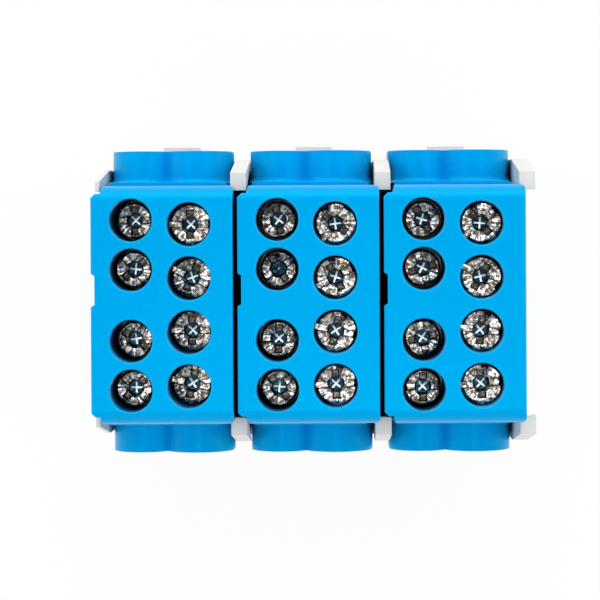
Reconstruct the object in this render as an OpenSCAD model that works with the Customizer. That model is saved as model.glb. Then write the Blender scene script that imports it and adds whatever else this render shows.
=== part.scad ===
// Rail-mounted power distribution block: moulded single-pole modules ganged side by side.
// X runs along the rail, Y along the cables, Z up from the feet to the screw face.
// The origin is the middle of the rail channel, level with the underside of the feet.

/* [Modules] */
// Number of single-pole modules hooked together
poles = 3; // [1:1:3]
// Spacing of the modules along the rail
pitch = 27; // [26.8:0.1:32]
// Gap between the housings of two neighbours
side_gap = 0.8; // [0.6:0.1:1.2]
// Gap between the bases of two neighbours
base_gap = 0.6; // [0.5:0.1:1]

/* [Clamping screws] */
// X of the smaller screw column in its module
left_col_x = -5.75; // [-6:0.05:-5.6]
// X of the larger screw column in its module
right_col_x = 4.95; // [4.8:0.05:5.2]
// Y of the two inner screws of the left column
left_row_inner = 6.57; // [5.8:0.01:7]
// Y of the two outer screws of the left column
left_row_outer = 15.73; // [15:0.01:17]
// Y of the two inner screws of the right column
right_row_inner = 4.98; // [4.8:0.01:5.6]
// Y of the two outer screws of the right column
right_row_outer = 14.93; // [14.5:0.01:16]
// Thread diameter of the left screws
left_screw_d = 6.9; // [6:0.05:7]
// Thread diameter of the right screws
right_screw_d = 7.85; // [7:0.05:8]
// Length of every screw
screw_l = 14; // [13:0.5:15]
// Running clearance of a thread in its tapped hole, on the radius
thread_clear = 0.05; // [0.02:0.01:0.08]
// Clearance of a left screw in its well, on the radius
left_well_clear = 0.5; // [0.2:0.05:0.6]
// Clearance of a right screw in its well, on the radius
right_well_clear = 0.12; // [0.1:0.01:0.3]
// Tip to tip length of the cross recess
recess_l = 6.1; // [5:0.1:6.2]
// Width of the recess arms and of the slot
recess_w = 1.7; // [1.2:0.1:1.8]
// Depth of the cross recess
recess_depth = 2.8; // [2:0.1:3.5]
// Depth of the slot that runs out through the rim
slot_depth = 1.5; // [1:0.1:1.8]

/* [Terminal bar] */
// Diameter of the conductor bore under the left screws
left_bore_d = 8.6; // [7.5:0.1:8.8]
// Diameter of the conductor bore under the right screws
right_bore_d = 10; // [9:0.1:10.4]
// Metal between a conductor bore and the side of the bar
bar_side = 0.9; // [0.6:0.1:1]
// Metal between the outer left screws and the end of the bar
bar_end = 0.97; // [0.6:0.01:2]
// Metal under the right conductor bore
bar_under = 2.8; // [1.5:0.1:4]
// Metal over the right conductor bore, which holds the threads
bar_over = 6.5; // [5:0.1:8]
// Corner cut of the bar beside the neighbour's hook
bar_corner = 0.8; // [0.7:0.1:1]
// Lead-in round the mouths of the conductor bores
bore_lead = 0.4; // [0.3:0.05:0.5]

/* [Housing] */
// Clearance of the bar in the housing
bar_clear = 0.25; // [0.15:0.05:0.3]
// Length of the room's slanted corners beside the neighbour's hook
room_corner_l = 1.2; // [1:0.1:1.4]
// Depth of the screw wells from the front face to the bar
well_depth = 14.9; // [13:0.1:17]
// Gap between the ends of the wells and the bar
well_gap = 0.2; // [0.1:0.05:0.3]
// Wall round each screw well
well_wall = 1.2; // [0.9:0.1:1.4]
// Thickness of the front face
front_wall = 2.4; // [1.8:0.1:3.5]
// Thickness of the end walls
end_wall = 1.6; // [1.4:0.1:2]
// Radius of the shoulders at both ends of the front face
shoulder_r = 2.95; // [1:0.05:3]
// Radius of the corners of the front face that lie over the hooks
corner_r = 0.9; // [0.5:0.1:1.2]
// How far the lower end walls stand out past the shoulders
step_l = 0.9; // [0.6:0.1:1.1]
// Height of that step, down from the front face
step_drop = 10; // [8:0.5:12]
// Radius of the long front edges
edge_r = 0.4; // [0.2:0.05:0.6]
// Chamfer round the mouth of each well
well_chamfer = 0.25; // [0.1:0.05:0.4]
// Length of the shallow recess in the left side
side_recess_l = 6; // [4:0.5:8]
// Y of the middle of that recess
side_recess_y = 2.8; // [0:0.1:4]
// Depth of that recess
side_recess_depth = 0.72; // [0.4:0.02:0.9]

/* [Cable entries] */
// Length of a module over its cable entries
body_l = 58.5; // [58:0.1:68]
// Diameter of the left cable entries
left_entry_d = 9.3; // [8.9:0.1:9.4]
// Diameter of the right cable entries
right_entry_d = 10.9; // [10.5:0.1:11]
// Wall round the left cable entries
left_entry_wall = 1.4; // [1.2:0.05:1.5]
// Wall round the right cable entries
right_entry_wall = 1.58; // [1.4:0.02:1.6]
// Radius of the hollow at the root of the entries
root_r = 1.2; // [0.8:0.1:1.6]
// How far the foot of the entries stands in from the side of the right tube
foot_inset = 0.6; // [0.4:0.1:1]
// Radius of the right corner at the tip
tip_r = 0.4; // [0.2:0.1:0.6]
// Funnel at each cable mouth
funnel = 0.8; // [0.4:0.1:0.9]
// Thickness of the wall at the tip, round the mouths
tip_wall = 1.85; // [1.5:0.05:2.5]
// Plastic left under the cable tubes over the hollow foot
tube_floor = 1.2; // [1:0.1:2]

/* [Base] */
// Height of the rail seat over the underside of the feet
rail_seat = 6; // [5.6:0.1:8]
// Thickness of the floor under the housing
floor_t = 2.6; // [2:0.1:4]
// Height of the two ribs that carry the bar
bar_lift = 3; // [2:0.1:5]
// Width of each of those ribs
rib_w = 3; // [2:0.5:5]
// Y of the middle of each of those ribs
rib_y = 10; // [6:0.5:14]
// Width of the top-hat rail
rail_w = 35; // [35:0.1:35]
// Thickness of the rail's lips
rail_t = 1; // [1:0.1:1]
// Clearance of the rail in its channel
rail_clear = 0.2; // [0.1:0.05:0.3]
// How far the hooks reach under the rail's lips
hook_bite = 1.3; // [0.8:0.1:1.8]
// Wall round the hollows of the feet
foot_wall = 1.6; // [1.2:0.1:2.2]

/* [Corner posts] */
// Height of the posts' tops below the front face
post_drop = 5.6; // [4:0.1:8]
// Y of the inner side of the posts
post_y0 = 21.2; // [21:0.05:21.6]
// Length of a post's flat top along Y
post_top_l = 3.3; // [2.5:0.1:4]
// Length of a post at its foot along Y
post_foot_l = 6.3; // [5.8:0.1:6.5]
// Height of the sloping end of a post
post_slope_h = 18.4; // [12:0.1:22]
// Thickness of the left post
left_post_t = 0.8; // [0.6:0.05:0.9]
// Thickness of the right post
right_post_t = 0.9; // [0.8:0.05:1]
// How far the right post stands inside the housing's side
right_post_inset = 0.75; // [0.65:0.05:0.9]
// Thickness of the hook's outer leg
hook_leg_t = 0.5; // [0.4:0.05:0.6]
// Height of that leg at its inner side
hook_leg_h = 3.3; // [2.5:0.1:5]
// Thickness of the hook's roof and of its end
hook_roof_t = 1.6; // [1.2:0.1:2]
// Clearance between posts, hooks and housings
post_clear = 0.1; // [0.05:0.01:0.15]
// Clearance of the housing round the posts
post_gap = 0.2; // [0.15:0.05:0.3]
// Clearance between a left post and the cable entry beside it
left_post_gap = 0.5; // [0.4:0.05:0.6]
// Clearance of the housing beside and inside the neighbour's hook
hook_gap = 0.25; // [0.15:0.05:0.4]
// Clearance of the housing in front of the hooks' ends
hook_end_gap = 0.6; // [0.4:0.05:0.8]

/* [Rail latch] */
// X of the latch in its module
latch_x = 0.4; // [-2:0.1:2]
// Width of the latch
latch_w = 7.4; // [6:0.1:9]
// Height of the latch's underside
latch_z0 = 1.3; // [1:0.1:1.6]
// Clearance of the latch in its guide
latch_clear = 0.1; // [0.05:0.01:0.15]
// How far the pull tab stands out past the cable entries
tab_proud = 1.55; // [1:0.05:3]
// Thickness of the hooks under the rail's lips, at their root
nose_t = 0.9; // [0.7:0.1:1.2]
// Width of the finger slot through the pull tab
tab_slot_w = 1.2; // [1:0.1:1.6]
// Plastic between that slot and the tab's end
tab_end_w = 1; // [0.8:0.1:1.4]
// Travel of the latch when it is pulled
latch_travel = 2.2; // [1.6:0.1:2.4]
// Outer diameter of the latch spring
spring_d = 2.8; // [2.4:0.1:2.9]
// Wire diameter of the latch spring
spring_wire = 0.4; // [0.3:0.05:0.5]
// Turns of the latch spring
spring_turns = 6; // [4:0.5:7]
// Length of the peg that the spring pushes on
peg_l = 1.4; // [1:0.1:2]
// Plastic of the foot outside that peg
peg_cover = 1.1; // [0.9:0.1:1.4]
// Room for the spring in the latch, on each side
spring_gap = 0.3; // [0.2:0.05:0.4]
// Plastic between the latch's hook and its spring
window_wall = 1.2; // [1:0.1:1.4]

/* [Hidden] */
$fn = 96;
eps = 0.01;
over = 1;
full_turn = 360;
SIDES = ["left", "right"];
ROWS = [1, 2, 3, 4];

// Depth of each screw head below the front face: one line per module, left column then right
HEAD_DEPTH = [
    [[7.6, 7.2, 7.5, 7.3], [3.6, 7.0, 7.2, 6.9]],
    [[7.0, 7.3, 6.8, 7.2], [3.5, 3.7, 3.4, 3.6]],
    [[7.1, 6.8, 7.4, 7.0], [3.6, 3.4, 3.7, 3.5]]
];
// Angle of each slot, as the screws happen to stand
SLOT_ANGLE = [
    [[0, -50, 54, -45], [0, -25, 0, -13]],
    [[10, 33, -2, 39], [52, 28, -13, 3]],
    [[29, -72, -78, 0], [41, -31, -7, 5]]
];

// Heights, from the feet up
floor_z = rail_seat + floor_t;
bar_z0 = floor_z + bar_lift;
cable_z = bar_z0 + bar_under + right_bore_d / 2;
bar_z1 = cable_z + right_bore_d / 2 + bar_over;
front_z = bar_z1 + well_gap + well_depth;
post_z = front_z - post_drop;
slope_z = post_z - post_slope_h;
latch_z1 = rail_seat - rail_t - rail_clear - latch_clear;

// Half sizes of the housing, the bar and its room
half_w = (pitch - side_gap) / 2;
base_half_w = (pitch - base_gap) / 2;
bar_half_l = left_row_outer + left_screw_d / 2 + thread_clear + bar_end;
room_half_l = bar_half_l + bar_clear;
half_l = room_half_l + end_wall;
step_y = half_l + step_l;
tip_y = body_l / 2;
bar_x0 = left_col_x - left_bore_d / 2 - bar_side;
bar_x1 = right_col_x + right_bore_d / 2 + bar_side;

// Screws, wells and cable entries
COL_X = [left_col_x, right_col_x];
SCREW_D = [left_screw_d, right_screw_d];
BORE_D = [left_bore_d, right_bore_d];
ENTRY_D = [left_entry_d, right_entry_d];
LOBE_R = [left_entry_d / 2 + left_entry_wall, right_entry_d / 2 + right_entry_wall];
WELL_R = [left_screw_d / 2 + left_well_clear, right_screw_d / 2 + right_well_clear];
ROW_Y = [
    [left_row_outer, left_row_inner, -left_row_inner, -left_row_outer],
    [right_row_outer, right_row_inner, -right_row_inner, -right_row_outer]
];
head_chamfer = 0.5;
tip_chamfer = 1;

// Corner posts and the hook over the neighbour's post
entry_x0 = left_col_x - LOBE_R[0];
entry_x1 = right_col_x + LOBE_R[1];
foot_x1 = entry_x1 - foot_inset;
left_post_x1 = entry_x0 - left_post_gap;
left_post_x0 = left_post_x1 - left_post_t;
right_post_x0 = half_w - right_post_inset;
hook_leg_x0 = pitch + left_post_x1 + post_clear;
hook_leg_x1 = hook_leg_x0 + hook_leg_t;
hook_edge = hook_leg_x1 - pitch;
post_end_y = post_y0 + post_foot_l;
left_post_z = post_z - hook_roof_t - post_gap;
left_notch_x = hook_edge + hook_gap;
left_notch_y = post_y0 - hook_end_gap;
right_notch_x = right_post_x0 - post_gap;
right_notch_y = post_y0 - post_gap;
cover_z0 = post_z + post_gap;
step_z = front_z - step_drop;
// Slant of the left notch over the shoulder's length, and rounding of its outer corner
notch_run = 0.45;
notch_round = 0.8;

// Rail channel, feet and latch
channel_y = rail_w / 2 + rail_clear;
nose_y = rail_w / 2 - hook_bite;
tab_y = tip_y + tab_proud;
spring_z = (latch_z0 + latch_z1) / 2;
window_half_w = spring_d / 2 + spring_gap;
peg_y1 = post_end_y - peg_cover;
peg_y0 = peg_y1 - peg_l;
window_y0 = channel_y + window_wall;
window_y1 = peg_y1 + latch_clear;

// Spreads one module's shape along the rail
function module_x(p) = (p - (poles + 1) / 2) * pitch;
module at_module(p) { translate([module_x(p), 0, 0]) children(); }
// Repeats a shape at both ends of a module
module both_ends() { children(); mirror([0, 1, 0]) children(); }
// Extrudes a Y-Z outline along X
module along_x(x0, x1) {
    translate([x0, 0, 0]) rotate([90, 0, 90]) linear_extrude(x1 - x0) children();
}
// Extrudes an X-Z outline along Y
module along_y(y0, y1) {
    translate([0, y1, 0]) rotate([90, 0, 0]) linear_extrude(y1 - y0) children();
}
// A box from its two corners
module box(a, b) { translate(a) cube(b - a); }
// A flat outline of width 2 * w and height h, with its two upper corners rounded
module rounded_top(w, h, r) {
    translate([-w, 0]) square([2 * w, h - r]);
    translate([r - w, 0]) square([2 * (w - r), h]);
    for (s = [-1, 1]) translate([s * (w - r), h - r]) circle(r);
}

// Cuts at the left corners, where the neighbour's hooks lie
module left_notches() {
    for (s = [-1, 1]) polygon([
        [-half_w - over, s * (left_notch_y - notch_round)],
        [-half_w, s * (left_notch_y - notch_round)],
        [-half_w + notch_round, s * left_notch_y],
        [left_notch_x, s * left_notch_y],
        [left_notch_x + notch_run, s * half_l],
        [left_notch_x + notch_run, s * (half_l + over)],
        [-half_w - over, s * (half_l + over)]
    ]);
}

// Cuts at the right corners, round the module's own hook posts
module right_notches() {
    for (s = [-1, 1]) polygon([
        [right_notch_x, s * right_notch_y],
        [half_w + over, s * right_notch_y],
        [half_w + over, s * (half_l + over)],
        [right_notch_x, s * (half_l + over)]
    ]);
}

// Shallow recess in the left side, with sloping ends
module side_recess() {
    y0 = side_recess_y - side_recess_l / 2;
    y1 = side_recess_y + side_recess_l / 2;
    polygon([
        [-half_w - over, y0 - side_recess_depth],
        [-half_w + side_recess_depth, y0 + side_recess_depth / 2],
        [-half_w + side_recess_depth, y1 - side_recess_depth / 2],
        [-half_w - over, y1 + side_recess_depth]
    ]);
}

// Plan of the housing below the level of the hooks
module lower_plan() {
    difference() {
        square([2 * half_w, 2 * half_l], center = true);
        left_notches();
        right_notches();
        side_recess();
    }
}

// Plan of the housing above that level, where its right corners lie over the hooks
module cover_plan() {
    difference() {
        square([2 * half_w, 2 * half_l], center = true);
        left_notches();
        side_recess();
        for (s = [-1, 1]) translate([half_w - corner_r, s * (half_l - corner_r)]) difference() {
            translate([0, s < 0 ? -corner_r - over : 0]) square(corner_r + over);
            circle(corner_r);
        }
    }
}

// Plan of one lower end wall, which stands out past the shoulder
module step_plan() {
    polygon([
        [left_notch_x + notch_run, room_half_l + eps],
        [left_notch_x + notch_run, half_l],
        [left_notch_x + 2 * notch_run, step_y],
        [entry_x1 - 2 * step_l, step_y],
        [entry_x1 - step_l, step_y - step_l / 4],
        [right_notch_x, half_l - step_l / 2],
        [right_notch_x, room_half_l + eps]
    ]);
}

// Plan of one cable entry, with its right corner rounded
module entry_plan() {
    translate([entry_x0, room_half_l + eps]) square([entry_x1 - entry_x0, tip_y - tip_r - room_half_l - eps]);
    translate([entry_x0, tip_y - 2 * tip_r]) square([entry_x1 - entry_x0 - tip_r, 2 * tip_r]);
    translate([entry_x1 - tip_r, tip_y - tip_r]) circle(tip_r);
}

// Section of the cable entries: two round tubes on a straight-sided foot
module entry_section() {
    for (i = [0, 1]) translate([COL_X[i], cable_z]) circle(LOBE_R[i]);
    translate([entry_x0, floor_z]) square([foot_x1 - entry_x0, cable_z - floor_z]);
}

// Hollow fillet between an end wall and one round tube
module entry_root(i) {
    translate([COL_X[i], step_y - eps, cable_z]) rotate([-90, 0, 0]) rotate_extrude() difference() {
        square([LOBE_R[i] + root_r, root_r + eps]);
        translate([LOBE_R[i] + root_r, root_r + eps]) circle(root_r);
    }
}

module entry_solid() {
    intersection() {
        translate([0, 0, floor_z]) linear_extrude(front_z - floor_z) entry_plan();
        union() {
            along_y(room_half_l, tip_y) entry_section();
            for (i = [0, 1]) entry_root(i);
        }
    }
    translate([0, 0, floor_z]) linear_extrude(step_z - floor_z) step_plan();
}

module upper_solid() {
    intersection() {
        union() {
            translate([0, 0, floor_z]) linear_extrude(cover_z0 + eps - floor_z) lower_plan();
            translate([0, 0, cover_z0]) linear_extrude(front_z - cover_z0) cover_plan();
        }
        along_x(-half_w, half_w) rounded_top(half_l, front_z, shoulder_r);
        along_y(-half_l, half_l) rounded_top(half_w, front_z, edge_r);
    }
}

// Room for the bar, with its left corners clear of the neighbour's hook
module room_plan() {
    x0 = bar_x0 - bar_clear;
    x1 = left_col_x - left_entry_d / 2;
    polygon([
        [x0, -room_half_l + room_corner_l],
        [x1, -room_half_l],
        [bar_x1 + bar_clear, -room_half_l],
        [bar_x1 + bar_clear, room_half_l],
        [x1, room_half_l],
        [x0, room_half_l - room_corner_l]
    ]);
}

module housing(p) {
    color([0.0, 0.62, 0.89]) difference() {
        union() {
            difference() {
                union() {
                    upper_solid();
                    both_ends() entry_solid();
                }
                translate([0, 0, floor_z - over])
                    linear_extrude(front_z - front_wall - floor_z + over) room_plan();
            }
            intersection() {
                for (i = [0, 1]) for (y = ROW_Y[i])
                    translate([COL_X[i], y, bar_z1 + well_gap])
                        cylinder(r = WELL_R[i] + well_wall, h = front_z - front_wall / 2 - bar_z1 - well_gap);
                linear_extrude(front_z) lower_plan();
            }
        }
        for (i = [0, 1]) for (y = ROW_Y[i]) translate([COL_X[i], y, 0]) {
            translate([0, 0, bar_z1]) cylinder(r = WELL_R[i], h = front_z);
            translate([0, 0, front_z - well_chamfer])
                cylinder(r1 = WELL_R[i], r2 = WELL_R[i] + 2 * well_chamfer, h = 2 * well_chamfer);
        }
        for (i = [0, 1]) translate([COL_X[i], 0, cable_z]) both_ends() rotate([-90, 0, 0]) {
            translate([0, 0, room_half_l - over]) cylinder(d = ENTRY_D[i], h = tip_y);
            translate([0, 0, tip_y - funnel])
                cylinder(r1 = ENTRY_D[i] / 2, r2 = ENTRY_D[i] / 2 + 2 * funnel, h = 2 * funnel);
        }
        both_ends() {
            box([entry_x0 + end_wall, half_l, floor_z - over],
                [foot_x1 - end_wall, tip_y - tip_wall, cable_z - right_entry_d / 2 - tube_floor]);
            box([entry_x0 - over, half_l - over, slope_z - post_gap],
                [left_notch_x, post_end_y + post_gap, front_z]);
        }
    }
}

// Y-Z outline of a corner post up to a given height, its end set in by a wall
module post_outline(top, inset) {
    end_run = (post_foot_l - post_top_l) / post_slope_h;
    polygon([
        [post_y0, floor_z - eps],
        [post_end_y - inset, floor_z - eps],
        [post_end_y - inset, slope_z],
        [post_end_y - inset - (top - slope_z) * end_run, top],
        [post_y0, top]
    ]);
}

// Y-Z outline of the cap that hooks over the neighbour's left post
module hook_outline() {
    polygon([
        [post_y0, post_z - hook_leg_h],
        [post_end_y, slope_z],
        [post_y0 + post_top_l, post_z],
        [post_y0, post_z]
    ]);
}

// Right corner post with its cap, open inwards for the neighbour's post
module hook_post() {
    along_x(right_post_x0, right_post_x0 + right_post_t) post_outline(post_z, 0);
    difference() {
        along_x(right_post_x0, hook_leg_x1) hook_outline();
        along_x(right_post_x0 + eps, hook_leg_x0) translate([-eps, 0])
            post_outline(post_z - hook_roof_t, hook_roof_t);
    }
}

// Fixed or sliding hook under a lip of the rail
module nose_outline() {
    polygon([
        [nose_y, latch_z1],
        [nose_y, latch_z1 - nose_t],
        [channel_y + nose_t, latch_z0],
        [channel_y + nose_t, latch_z1]
    ]);
}

module base(p) {
    color([0.86, 0.86, 0.84]) difference() {
        union() {
            box([-base_half_w, -post_end_y, rail_seat], [base_half_w, post_end_y, floor_z]);
            both_ends() {
                box([-base_half_w, channel_y, 0], [base_half_w, post_end_y, rail_seat + eps]);
                box([bar_x0 + over, rib_y - rib_w / 2, floor_z - eps], [bar_x1 - over, rib_y + rib_w / 2, bar_z0]);
                along_x(left_post_x0, left_post_x1) post_outline(left_post_z, hook_roof_t + post_gap);
                hook_post();
            }
            mirror([0, 1, 0]) along_x(-latch_w / 2, latch_w / 2) nose_outline();
        }
        for (s = [-1, 1]) both_ends()
            box([s < 0 ? -base_half_w + foot_wall : latch_x + latch_w / 2 + 2 * foot_wall,
                 channel_y + foot_wall, -over],
                [s < 0 ? latch_x - latch_w / 2 - 2 * foot_wall : base_half_w - foot_wall,
                 post_end_y - foot_wall, rail_seat - foot_wall]);
        difference() {
            box([latch_x - latch_w / 2 - latch_clear, channel_y - over, latch_z0 - latch_clear],
                [latch_x + latch_w / 2 + latch_clear, post_end_y + over, latch_z1 + latch_clear]);
            box([latch_x - window_half_w + 2 * latch_clear, peg_y0, 0],
                [latch_x + window_half_w - 2 * latch_clear, peg_y1, rail_seat]);
        }
    }
}

module terminal_bar(p) {
    color([0.80, 0.79, 0.74]) difference() {
        translate([0, 0, bar_z0]) linear_extrude(bar_z1 - bar_z0) polygon([
            [bar_x0, -bar_half_l + bar_corner],
            [bar_x0 + bar_corner, -bar_half_l],
            [bar_x1, -bar_half_l],
            [bar_x1, bar_half_l],
            [bar_x0 + bar_corner, bar_half_l],
            [bar_x0, bar_half_l - bar_corner]
        ]);
        for (i = [0, 1]) {
            translate([COL_X[i], 0, cable_z]) rotate([90, 0, 0])
                cylinder(d = BORE_D[i], h = 3 * bar_half_l, center = true);
            translate([COL_X[i], 0, cable_z]) both_ends() rotate([-90, 0, 0])
                translate([0, 0, bar_half_l - bore_lead])
                cylinder(r1 = BORE_D[i] / 2, r2 = BORE_D[i] / 2 + 2 * bore_lead, h = 2 * bore_lead);
            for (y = ROW_Y[i]) translate([COL_X[i], y, cable_z])
                cylinder(d = SCREW_D[i] + 2 * thread_clear, h = bar_z1);
        }
    }
}

module clamping_screw(d, depth, angle) {
    color([0.78, 0.78, 0.76]) translate([0, 0, front_z - depth - screw_l]) rotate([0, 0, angle])
        difference() {
            union() {
                cylinder(d1 = d - 2 * tip_chamfer, d2 = d, h = tip_chamfer);
                translate([0, 0, tip_chamfer]) cylinder(d = d, h = screw_l - tip_chamfer - head_chamfer);
                translate([0, 0, screw_l - head_chamfer])
                    cylinder(d1 = d, d2 = d - 2 * head_chamfer, h = head_chamfer);
            }
            for (a = [0, 90]) rotate([0, 0, a])
                box([-recess_l / 2, -recess_w / 2, screw_l - recess_depth],
                    [recess_l / 2, recess_w / 2, screw_l + over]);
            box([-d, -recess_w / 2, screw_l - slot_depth], [d, recess_w / 2, screw_l + over]);
        }
}

module rail_latch(p) {
    color([0.88, 0.88, 0.86]) translate([latch_x, 0, 0]) difference() {
        along_x(-latch_w / 2, latch_w / 2) {
            nose_outline();
            translate([channel_y + nose_t - eps, latch_z0])
                square([tab_y - channel_y - nose_t + eps, latch_z1 - latch_z0]);
        }
        box([-window_half_w, window_y0, 0], [window_half_w, window_y1, rail_seat]);
        box([-latch_w / 4, tab_y - tab_end_w - tab_slot_w, 0], [latch_w / 4, tab_y - tab_end_w, rail_seat]);
    }
}

// Helical compression spring between the latch's window and the peg of the base
module latch_spring(p) {
    sides = 8;
    steps = 14;
    mean_r = (spring_d - spring_wire) / 2;
    run = peg_y0 - window_y0 - spring_wire;
    rings = spring_turns * steps;
    function ring_point(k, j) =
        let (t = full_turn * k / steps, u = full_turn * j / sides, r = mean_r + spring_wire / 2 * cos(u))
        [r * cos(t), spring_wire / 2 + run * k / rings + spring_wire / 2 * sin(u), r * sin(t)];
    points = [for (k = [0:rings]) for (j = [0:sides - 1]) ring_point(k, j)];
    faces = concat(
        [[for (j = [0:sides - 1]) j]],
        [for (k = [0:rings - 1]) for (j = [0:sides - 1])
            [k * sides + j, (k + 1) * sides + j, (k + 1) * sides + (j + 1) % sides, k * sides + (j + 1) % sides]],
        [[for (j = [sides - 1:-1:0]) rings * sides + j]]
    );
    color([0.6, 0.6, 0.62]) translate([latch_x, window_y0, spring_z]) polyhedron(points, faces);
}

for (p = [1:poles]) at_module(p) {
    base(p);
    terminal_bar(p);
    housing(p);
    rail_latch(p);
    latch_spring(p);
    for (i = [0, 1]) for (r = ROWS) {
        translate([COL_X[i], ROW_Y[i][r - 1], 0])
                clamping_screw(SCREW_D[i], HEAD_DEPTH[p - 1][i][r - 1], SLOT_ANGLE[p - 1][i][r - 1]);
    }
}
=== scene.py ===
import math

import bmesh
import bpy
from mathutils import Matrix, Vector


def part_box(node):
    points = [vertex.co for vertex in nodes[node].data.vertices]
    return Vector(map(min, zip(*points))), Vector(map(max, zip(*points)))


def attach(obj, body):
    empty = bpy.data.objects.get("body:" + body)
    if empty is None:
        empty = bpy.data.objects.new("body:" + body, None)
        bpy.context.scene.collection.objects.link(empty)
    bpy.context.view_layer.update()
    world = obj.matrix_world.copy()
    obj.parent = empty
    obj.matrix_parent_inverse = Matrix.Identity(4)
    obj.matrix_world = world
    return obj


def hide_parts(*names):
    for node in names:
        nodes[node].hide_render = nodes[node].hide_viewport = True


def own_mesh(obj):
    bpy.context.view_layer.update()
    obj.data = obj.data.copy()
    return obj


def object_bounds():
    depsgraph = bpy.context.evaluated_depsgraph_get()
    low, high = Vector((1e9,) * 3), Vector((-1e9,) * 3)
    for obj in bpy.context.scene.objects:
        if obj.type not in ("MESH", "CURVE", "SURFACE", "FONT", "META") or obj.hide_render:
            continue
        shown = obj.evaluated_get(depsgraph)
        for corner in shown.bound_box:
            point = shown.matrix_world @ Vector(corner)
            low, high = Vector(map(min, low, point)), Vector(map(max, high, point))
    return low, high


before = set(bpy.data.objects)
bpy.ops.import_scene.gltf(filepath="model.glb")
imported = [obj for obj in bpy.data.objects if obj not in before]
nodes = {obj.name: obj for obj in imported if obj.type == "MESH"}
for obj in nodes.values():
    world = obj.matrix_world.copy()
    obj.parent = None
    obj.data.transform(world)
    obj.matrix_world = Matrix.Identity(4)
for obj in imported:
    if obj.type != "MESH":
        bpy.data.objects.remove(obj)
cad_low, cad_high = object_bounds()
modules = [name.split("_")[1] for name in nodes if name.startswith("housing_")]


# Camera: level over the screw face and a little above its middle, at arm's length with
# a long lens, so that the wells of the outer modules are seen slightly from the side.
standoff = 0.365
camera_data = bpy.data.cameras.new("camera")
camera_data.lens = 119.1
camera_data.shift_x = -0.0771
camera_data.shift_y = -0.1085
camera_data.clip_start = 0.01
camera = bpy.data.objects.new("camera", camera_data)
camera.location = (0.0070, 0.0128, cad_high[2] + standoff)
camera.rotation_euler = (0, 0, math.radians(-0.3))
bpy.context.scene.collection.objects.link(camera)
bpy.context.scene.camera = camera


# Bases: the light grey feet that clip on the rail, moulded in polyamide. Their corner
# posts flank the cable entries, and each right post hooks over the next module's left one.
class Wire:
    """A shader socket on which sums are written in Python: 1 - wire adds a Math node."""

    def __init__(self, tree, socket=None):
        self.tree = tree
        self.socket = socket

    def node(self, kind, settings, sockets, out=0):
        """Adds a node: its settings first, then the values or links of its sockets."""
        made = self.tree.nodes.new("ShaderNode" + kind)
        for name, value in settings.items():
            setattr(made, name, value)
        for name, value in sockets.items():
            if isinstance(value, Wire):
                self.tree.links.new(value.socket, made.inputs[name])
            else:
                made.inputs[name].default_value = value
        return Wire(self.tree, made.outputs[out])

    def math(self, operation, a, b=0.0, c=0.0):
        return self.node("Math", {"operation": operation}, {0: a, 1: b, 2: c})

    def mix(self, dark, light):
        """Colour that goes from dark to light as this value goes from 0 to 1."""
        return self.node("Mix", {"data_type": "RGBA"}, {0: self, 6: dark, 7: light}, 2)

    def step(self, low, high):
        """0 below low, 1 above high and smooth between them."""
        settings = {"interpolation_type": "SMOOTHSTEP"}
        return self.node("MapRange", settings, {0: self, 1: low, 2: high})

    def __add__(self, other):
        return self.math("ADD", self, other)

    def __sub__(self, other):
        return self.math("SUBTRACT", self, other)

    def __mul__(self, other):
        return self.math("MULTIPLY", self, other)

    def __rsub__(self, other):
        return self.math("SUBTRACT", other, self)

    __radd__ = __add__
    __rmul__ = __mul__


def new_material(name, **constants):
    """A material with a Principled shader; returns it, a wire for sums and the shader."""
    material = bpy.data.materials.new(name)
    material.use_nodes = True
    shader = material.node_tree.nodes["Principled BSDF"]
    for socket, value in constants.items():
        shader.inputs[socket.replace("_", " ")].default_value = value
    return material, Wire(material.node_tree), shader


def feed(shader, **wires):
    """Links each wire to the shader's socket of that name."""
    for socket, wire in wires.items():
        wire.tree.links.new(wire.socket, shader.inputs[socket.replace("_", " ")])


def place_wire(wire):
    """The point on the piece, in metres, in the part's own frame."""
    return wire.node("TexCoord", {}, {}, 3)


def noise_wire(place, scale, detail=2.0, roughness=0.5):
    """Cloudy noise from 0 to 1; scale is in clouds per metre."""
    sockets = {"Vector": place, "Scale": scale, "Detail": detail, "Roughness": roughness}
    return place.node("TexNoise", {}, sockets)


def openness_wire(wire, distance):
    """1 in the open, towards 0 in gaps and wells narrower than the distance."""
    return wire.node("AmbientOcclusion", {"samples": 8}, {"Distance": distance}, 1)


def grain_normal(height, strength, distance, edge_radius):
    """Bump from a height, over edges that read as rounded off to the given radius."""
    edges = height.node("Bevel", {"samples": 6}, {"Radius": edge_radius})
    sockets = {"Strength": strength, "Distance": distance, "Height": height, "Normal": edges}
    return height.node("Bump", {}, sockets)


def moulded_grey(name, tint):
    """Light grey polyamide with a faint cast, fine grain and painted shade in gaps and corners."""
    material, wire, shader = new_material(name, IOR=1.5, Specular_IOR_Level=0.45)
    place = place_wire(wire)
    cloud = noise_wire(place, 160.0, 3.0)
    grain = noise_wire(place, 5200.0, 2.0)
    openness = openness_wire(wire, 0.012)
    height = place.node("SeparateXYZ", {}, {0: place}, 2)
    # Painted shade: the grey goes to near black where ambient occlusion finds gaps and corners,
    # with little of it high up on the parts.
    shade = place.math("MAXIMUM", openness.step(0.0, 0.36), 0.8 * height.step(0.014, 0.026))
    feed(
        shader,
        Base_Color=(shade * (0.93 + 0.07 * cloud)).mix((0.004, 0.008, 0.016, 1), tint),
        Roughness=0.34 + 0.14 * cloud,
        Normal=grain_normal(grain, 0.22, 0.00003, 0.00014),
    )
    return material


def give_material(kind, material):
    """Gives that solid of every module its material."""
    for module in modules:
        slots = nodes[kind + "_" + module].data.materials
        slots.clear()
        slots.append(material)


give_material("base", moulded_grey("grey_polyamide", (0.78, 0.76, 0.72, 1)))


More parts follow.
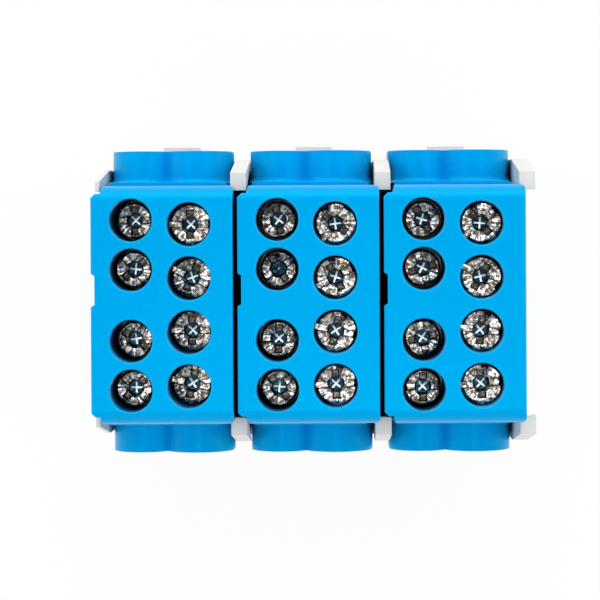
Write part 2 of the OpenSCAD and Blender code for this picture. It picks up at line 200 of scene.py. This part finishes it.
# Rail latches: grey sliders in the upper foot of each module, pulled by their tab.
# They are moulded in a slightly whiter polyamide than the bases.
give_material("rail_latch", moulded_grey("latch_polyamide", (0.81, 0.80, 0.78, 1)))


# Latch springs: round steel wire wound round the Y axis, each pressing its latch home
# from a peg of the base.
spring_wire_d = 0.0004
spring_turns = 6
spring_wire_sides = 12
spring_steps_per_turn = 28


def latch_spring(module):
    low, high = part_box("latch_spring_" + module)
    centre = (low + high) / 2
    coil_r = (high[0] - low[0] - spring_wire_d) / 2
    rise = high[1] - low[1] - spring_wire_d
    mesh = bmesh.new()
    bmesh.ops.create_circle(mesh, segments=spring_wire_sides, radius=spring_wire_d / 2)
    turn = Matrix.Translation((coil_r, 0, 0)) @ Matrix.Rotation(math.pi / 2, 4, "X")
    stand = Matrix.Translation((centre[0], low[1] + spring_wire_d / 2, centre[2]))
    stand = stand @ Matrix.Rotation(-math.pi / 2, 4, "X") @ turn
    bmesh.ops.transform(mesh, matrix=stand, verts=mesh.verts)
    steps = spring_turns * spring_steps_per_turn
    full_angle = 2 * math.pi * spring_turns
    bmesh.ops.spin(
        mesh, geom=mesh.edges[:], cent=(centre[0], 0, centre[2]), axis=(0, 1, 0),
        dvec=(0, rise / steps, 0), angle=full_angle, steps=steps, use_merge=False,
    )
    bmesh.ops.holes_fill(mesh, edges=[edge for edge in mesh.edges if edge.is_boundary], sides=0)
    return mesh


def object_from(mesh, name, material, smooth_angle=None):
    """Turns a bmesh into an object with outward faces, one material and soft shading."""
    bmesh.ops.recalc_face_normals(mesh, faces=mesh.faces)
    data = bpy.data.meshes.new(name)
    mesh.to_mesh(data)
    mesh.free()
    data.materials.append(material)
    if smooth_angle:
        for polygon in data.polygons:
            polygon.use_smooth = True
        data.set_sharp_from_angle(angle=math.radians(smooth_angle))
    piece = bpy.data.objects.new(name, data)
    bpy.context.scene.collection.objects.link(piece)
    return piece


def spring_steel():
    material, wire, shader = new_material("spring_steel", Metallic=1.0)
    place = place_wire(wire)
    drawn = noise_wire(place, 3500.0, 3.0)
    feed(
        shader,
        Base_Color=drawn.mix((0.34, 0.34, 0.36, 1), (0.56, 0.56, 0.58, 1)),
        Roughness=0.22 + 0.16 * drawn,
        Normal=grain_normal(drawn, 0.15, 0.00002, 0.00003),
    )
    return material


wire_steel = spring_steel()
for module in modules:
    piece = object_from(latch_spring(module), "wound_spring_" + module, wire_steel, 60)
    low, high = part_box("latch_spring_" + module)
    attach(piece, "block")
    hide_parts("latch_spring_" + module)
    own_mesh(piece)


# Terminal bars: drawn brass bar, drilled right through for the conductors, tapped from
# the front for the screws and tin plated. They show at the bottom of wells and entries.
def tinned_brass():
    material, wire, shader = new_material("tinned_brass", Metallic=1.0)
    place = place_wire(wire)
    along = place.node("Mapping", {}, {0: place, 3: (1.0, 0.04, 1.0)})
    drawn = noise_wire(along, 2600.0, 3.0)
    stain = noise_wire(place, 220.0, 4.0)
    feed(
        shader,
        Base_Color=(0.6 * stain + 0.4 * drawn).mix((0.50, 0.49, 0.44, 1), (0.80, 0.79, 0.75, 1)),
        Roughness=0.26 + 0.2 * drawn,
        Normal=grain_normal(drawn, 0.3, 0.00003, 0.0001),
    )
    return material


give_material("terminal_bar", tinned_brass())


# Housings: bright blue hoods of glossy polyamide, dropped over the bars from the front.
# The wells, tubes and rounded shoulders come straight from the tool. Over them vary the fine
# texture, the faint flow clouds, a painted highlight along the edges and painted shade in the
# wells, gaps and tube roots.
def moulded_blue():
    material, wire, shader = new_material(
        "blue_polyamide", IOR=1.5, Specular_IOR_Level=0.6, Specular_Tint=(0.0, 0.8, 1.0, 1.0)
    )
    place = place_wire(wire)
    flow = noise_wire(place, 70.0, 2.0)
    grain = noise_wire(place, 4200.0, 2.0)
    openness = openness_wire(wire, 0.009)
    along = place.node("SeparateXYZ", {}, {0: place}, 1)
    past_end = along.math("ABSOLUTE", along).step(0.0212, 0.0224)
    # Painted shade: wells and gaps that ambient occlusion finds go near-black navy; past the
    # housing's ends, at the tube roots, only the tightest spots do.
    shade = past_end.math("MAXIMUM", openness.step(0.08, 0.5), past_end * openness.step(0.0, 0.12))
    body = flow.mix((0.0, 0.335, 0.745, 1), (0.0, 0.36, 0.78, 1))
    # Painted highlight: a pale cyan line along the edges, where the bevelled normal parts from the
    # true normal.
    flat = wire.node("NewGeometry", {}, {}, "True Normal")
    soft = wire.node("Bevel", {"samples": 4}, {"Radius": 0.00022})
    edge = 1.0 - wire.node("VectorMath", {"operation": "DOT_PRODUCT"}, {0: flat, 1: soft}, 1)
    body = (0.7 * edge.step(0.004, 0.08)).mix(body, (0.03, 0.62, 0.97, 1))
    # Painted shade colour for the wells, gaps and roots.
    deep = shade.mix((0.0, 0.004, 0.05, 1), body)
    feed(
        shader,
        Base_Color=deep,
        Roughness=0.24 + 0.08 * flow + 0.5 * (1.0 - shade),
        Normal=grain_normal(grain, 0.12, 0.00002, 0.00016),
    )
    return material


give_material("housing", moulded_blue())


# Clamping screws: headless steel screws, cold headed, rolled and zinc plated. The punch
# leaves a round middle with two square pockets beside it, a slot that runs out through
# the rim, and a pleated crown between them.
thread_pitch = {"left": 0.0010, "right": 0.00125}
thread_depth = {"left": 0.0005, "right": 0.0006}
# Points along one pitch, as a share of it, and whether each is on the crest or the root.
thread_profile = ((0.0, False), (0.12, False), (0.46, True), (0.66, True))
thread_steps_per_turn = 72
tip_chamfer = 0.0010
rim_chamfer = 0.0004
crown_pleats = 20
crown_sink = 0.00018
pleat_depth = 0.00014
recess_r = 0.0017
recess_depth = 0.0026
recess_rise = 0.0005
pocket_reach = 0.0028
pocket_depth = 0.0013
recess_width = 0.0016
recess_taper = 0.00029
slot_depth = 0.0008
slot_rise = 0.0002
rib_l = 0.0022
rib_top_l = 0.0020
rib_w = 0.00044
rib_top_w = 0.00004
rib_rise = 0.000024
rib_root = 0.00001
slot_angles = {
    "1": {"left": (0, -50, 54, -45), "right": (0, -25, 0, -13)},
    "2": {"left": (10, 33, -2, 39), "right": (52, 28, -13, 3)},
    "3": {"left": (29, -72, -78, 0), "right": (41, -31, -7, 5)},
}


def threaded_rod(radius, length, pitch, depth):
    """A rolled thread, cut square and chamfered, under a low crown with fine pleats."""
    mesh = bmesh.new()
    teeth = math.ceil(length / pitch) + 2
    root, crest = radius - depth, radius
    profile = []
    for tooth in range(teeth):
        start = (tooth - 1.5) * pitch
        for share, raised in thread_profile:
            profile.append(mesh.verts.new((crest if raised else root, 0, start + share * pitch)))
    profile.append(mesh.verts.new((root, 0, (teeth - 1.5) * pitch)))
    for lower, upper in zip(profile, profile[1:]):
        mesh.edges.new((lower, upper))
    steps = thread_steps_per_turn
    bmesh.ops.spin(
        mesh, geom=mesh.edges[:], cent=(0, 0, 0), axis=(0, 0, 1),
        dvec=(0, 0, pitch / steps), angle=2 * math.pi, steps=steps, use_merge=False,
    )
    bmesh.ops.remove_doubles(mesh, verts=mesh.verts, dist=1e-7)
    for height, side in ((0.0, -1), (length, 1)):
        geometry = mesh.verts[:] + mesh.edges[:] + mesh.faces[:]
        cut = bmesh.ops.bisect_plane(
            mesh, geom=geometry, plane_co=(0, 0, height), plane_no=(0, 0, side), clear_outer=True
        )["geom_cut"]
        rim_edges = [item for item in cut if isinstance(item, bmesh.types.BMEdge)]
        bmesh.ops.edgeloop_fill(mesh, edges=rim_edges)
    for vert in mesh.verts:
        limit = min(radius - tip_chamfer + vert.co.z, radius - rim_chamfer + (length - vert.co.z))
        reach = math.hypot(vert.co.x, vert.co.y)
        if reach > limit:
            vert.co.x *= limit / reach
            vert.co.y *= limit / reach
    head = max(mesh.faces, key=lambda face: face.calc_center_median().z)
    rim_verts = head.verts[:]
    bmesh.ops.poke(mesh, faces=[head])
    for vert in rim_verts:
        around = math.atan2(vert.co.y, vert.co.x)
        fold = abs((around * crown_pleats / (2 * math.pi)) % 1.0 * 2 - 1)
        vert.co.z -= crown_sink + pleat_depth * fold * (0.7 + 0.3 * math.sin(7 * around))
    return mesh


def pocket_cutter(length):
    """The two square pockets that the punch leaves beside the round middle."""
    mesh = bmesh.new()
    bmesh.ops.create_cube(mesh, size=1.0)
    for vert in mesh.verts:
        low = vert.co.z < 0
        vert.co.x *= recess_width - (2 * recess_taper if low else 0.0)
        vert.co.y *= 2 * (pocket_reach - (recess_taper if low else 0.0))
        vert.co.z = length + (-pocket_depth if low else 0.0)
    return mesh


def boolean(piece, cutter):
    """Cuts one mesh object with another and throws the cutter away."""
    modifier = piece.modifiers.new("cut", "BOOLEAN")
    modifier.operation = "DIFFERENCE"
    modifier.object = cutter
    modifier.solver = "EXACT"
    modifier.use_self = True
    depsgraph = bpy.context.evaluated_depsgraph_get()
    data = bpy.data.meshes.new_from_object(piece.evaluated_get(depsgraph))
    piece.modifiers.clear()
    piece.data = data
    bpy.data.objects.remove(cutter)


def cutter_object(mesh):
    """Makes the mesh an object for boolean to cut with."""
    bmesh.ops.recalc_face_normals(mesh, faces=mesh.faces)
    data = bpy.data.meshes.new("cutter")
    mesh.to_mesh(data)
    mesh.free()
    cutter = bpy.data.objects.new("cutter", data)
    bpy.context.scene.collection.objects.link(cutter)
    return cutter


def round_middle(length):
    """The round, slightly tapered middle of the recess."""
    mesh = bmesh.new()
    bmesh.ops.create_cone(
        mesh, cap_ends=True, segments=48, radius1=recess_r * 0.75, radius2=recess_r * 1.08,
        depth=recess_depth + recess_rise,
    )
    middle = length + (recess_rise - recess_depth) / 2
    bmesh.ops.translate(mesh, vec=(0, 0, middle), verts=mesh.verts)
    return mesh


def rim_slot(length, radius):
    """The shallow slot that runs out through the rim on both sides."""
    mesh = bmesh.new()
    bmesh.ops.create_cube(mesh, size=1.0)
    for vert in mesh.verts:
        low = vert.co.z < 0
        vert.co.x *= 3 * radius
        vert.co.y *= recess_width - (2 * recess_taper if low else 0.0)
        vert.co.z = length + (-slot_depth if low else slot_rise)
    return mesh


def star_ribs(piece, length):
    """Four low ribs that meet at the bottom of the recess, between its arms."""
    mesh = bmesh.new()
    mesh.from_mesh(piece.data)
    pit = mesh.verts.layers.float.new("pit")
    for vert in mesh.verts:
        if math.hypot(vert.co.x, vert.co.y) < pocket_reach + 0.0001:
            vert[pit] = max(0.0, min(1.0, (length - vert.co.z) / recess_depth))
    for half in (0, 1):
        made = bmesh.ops.create_cube(mesh, size=1.0)["verts"]
        for vert in made:
            top = vert.co.z > 0
            vert.co.x *= rib_top_l if top else rib_l
            vert.co.y *= rib_top_w if top else rib_w
            vert.co.z = length - recess_depth + (rib_rise if top else -rib_root)
            vert[pit] = -1.0
        turn = Matrix.Rotation(math.radians(45 + 90 * half), 4, "Z")
        bmesh.ops.transform(mesh, matrix=turn, verts=made)
    mesh.to_mesh(piece.data)
    mesh.free()


def zinc_plated():
    material, wire, shader = new_material("zinc_plated_steel", Metallic=1.0)
    place = place_wire(wire)
    dents = noise_wire(place, 1250.0, 1.5)
    crystals = place.node("TexVoronoi", {}, {"Vector": place, "Scale": 1500.0})
    pit = wire.node("Attribute", {"attribute_name": "pit"}, {}, "Fac")
    openness = openness_wire(wire, 0.0009)
    facing = wire.node("NewGeometry", {}, {}, "True Normal")
    level = facing.node("SeparateXYZ", {}, {0: facing}, 2)
    # Painted shade: walls and tight spots that don't face up go near black; only open faces that
    # look up keep the plated colour.
    painted_light_mask = openness.step(0.2, 0.7) * level.step(0.3, 0.85)
    # Painted highlight: the low ribs at the bottom of the recess are painted near white, brighter
    # than the plating, so they show as a bright star.
    rib_painted_highlight = pit.math("LESS_THAN", pit, -0.5)
    plated = dents.step(0.38, 0.62).mix((0.20, 0.16, 0.12, 1), (0.88, 0.87, 0.84, 1))
    lit = painted_light_mask.mix((0.012, 0.012, 0.016, 1), plated)
    # Painted shade: the pocket floors go dark brown, and the deep middle of the recess goes dark
    # navy, painted shade with a painted reflection of the blue walls.
    pocket = pit.step(0.36, 0.48).mix(lit, (0.10, 0.085, 0.07, 1))
    middle = pit.step(0.52, 0.8).mix(pocket, (0.012, 0.042, 0.066, 1))
    feed(
        shader,
        Base_Color=rib_painted_highlight.mix(middle, (0.95, 0.96, 0.98, 1)),
        Roughness=0.14 + 0.2 * dents + 0.1 * rib_painted_highlight,
        Normal=grain_normal((dents + 0.5 * crystals) * (1.0 - rib_painted_highlight), 0.45, 0.00012, 0.00008),
    )
    return material


screw_zinc = zinc_plated()
templates = {}
for side in ("left", "right"):
    low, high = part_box(f"screw_1_{side}_1")
    radius, length = (high[0] - low[0]) / 2, high[2] - low[2]
    rod = threaded_rod(radius, length, thread_pitch[side], thread_depth[side])
    template = object_from(rod, "template", screw_zinc)
    boolean(template, cutter_object(pocket_cutter(length)))
    boolean(template, cutter_object(round_middle(length)))
    boolean(template, cutter_object(rim_slot(length, radius)))
    star_ribs(template, length)
    templates[side] = template.data
    bpy.data.objects.remove(template)

for module in modules:
    for side in ("left", "right"):
        for row, angle in enumerate(slot_angles[module][side], 1):
            node = f"screw_{module}_{side}_{row}"
            low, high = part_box(node)
            centre = (low + high) / 2
            mesh = bmesh.new()
            mesh.from_mesh(templates[side])
            spot = Matrix.Translation((centre[0], centre[1], low[2]))
            spot = spot @ Matrix.Rotation(math.radians(angle), 4, "Z")
            bmesh.ops.transform(mesh, matrix=spot, verts=mesh.verts)
            piece = object_from(mesh, "threaded_" + node, screw_zinc, 35)
            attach(piece, node)
            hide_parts(node)


# Floor and sky: a pale seamless table in a white tent, which is dimmer overhead and has
# a dark opening right above. Four soft panels glow in it: front, rear and both sides.
def pale_floor():
    material, wire, shader = new_material("pale_table", Roughness=0.9)
    shader.inputs["Base Color"].default_value = (0.9, 0.9, 0.9, 1)
    # Painted shadow: the floor's glow fades out under the block and close beside it.
    open_floor = openness_wire(wire, 0.03).step(0.0, 0.3)
    seen = wire.node("LightPath", {}, {}, "Is Camera Ray")
    mirrored = wire.node("LightPath", {}, {}, "Is Glossy Ray")
    through = wire.node("LightPath", {}, {}, "Is Transmission Ray")
    direct = wire.math("MINIMUM", seen + mirrored + through, 1.0)
    glow = wire.node("Emission", {}, {"Color": (1, 1, 1, 1), "Strength": 1.0})
    output = wire.tree.nodes["Material Output"]
    mixed = wire.node("MixShader", {}, {0: 0.92 * direct * open_floor, 2: glow})
    wire.tree.links.new(shader.outputs["BSDF"], mixed.socket.node.inputs[1])
    wire.tree.links.new(mixed.socket, output.inputs["Surface"])
    return material


floor_r = 3.0
floor_mesh = bmesh.new()
bmesh.ops.create_circle(floor_mesh, cap_ends=True, segments=96, radius=floor_r)
floor = object_from(floor_mesh, "floor", pale_floor())

world = bpy.data.worlds.new("tent")
world.use_nodes = True
bpy.context.scene.world = world
sky = Wire(world.node_tree)
direction = sky.node("TexCoord", {}, {}, 0)


def glow_towards(lean_x, lean_y, inner, outer):
    """1 round a direction leaning that many degrees from overhead, 0 past outer."""
    x, y = math.sin(math.radians(lean_x)), math.sin(math.radians(lean_y))
    aim = (x, y, math.sqrt(1 - x * x - y * y))
    cosine = direction.node("VectorMath", {"operation": "DOT_PRODUCT"}, {0: direction, 1: aim}, 1)
    return cosine.step(math.cos(math.radians(outer)), math.cos(math.radians(inner)))


height = sky.node("SeparateXYZ", {}, {0: direction}, 2)
rear = sky.node("SeparateXYZ", {}, {0: direction}, 1)
soft_box = glow_towards(0.0, -12.0, 3.0, 8.0)
side_boxes = glow_towards(-27.0, 5.0, 3.0, 9.0) + glow_towards(27.0, 5.0, 3.0, 9.0)
camera_hole = glow_towards(0.0, 0.0, 2.2, 4.5)
rear_box = glow_towards(0.0, 52.0, 8.0, 24.0)
dim_top = height.step(0.78, 0.90)
panels = 8.0 * soft_box + 3.0 * side_boxes + 3.0 * rear_box
level = (1.0 - 0.67 * dim_top + 0.12 * rear + panels) * (1.0 - 0.85 * camera_hole)
background = world.node_tree.nodes["Background"]
world.node_tree.links.new(level.socket, background.inputs["Strength"])
background.inputs["Color"].default_value = (1.0, 1.0, 1.0, 1)

bpy.context.scene.view_settings.view_transform = "Standard"
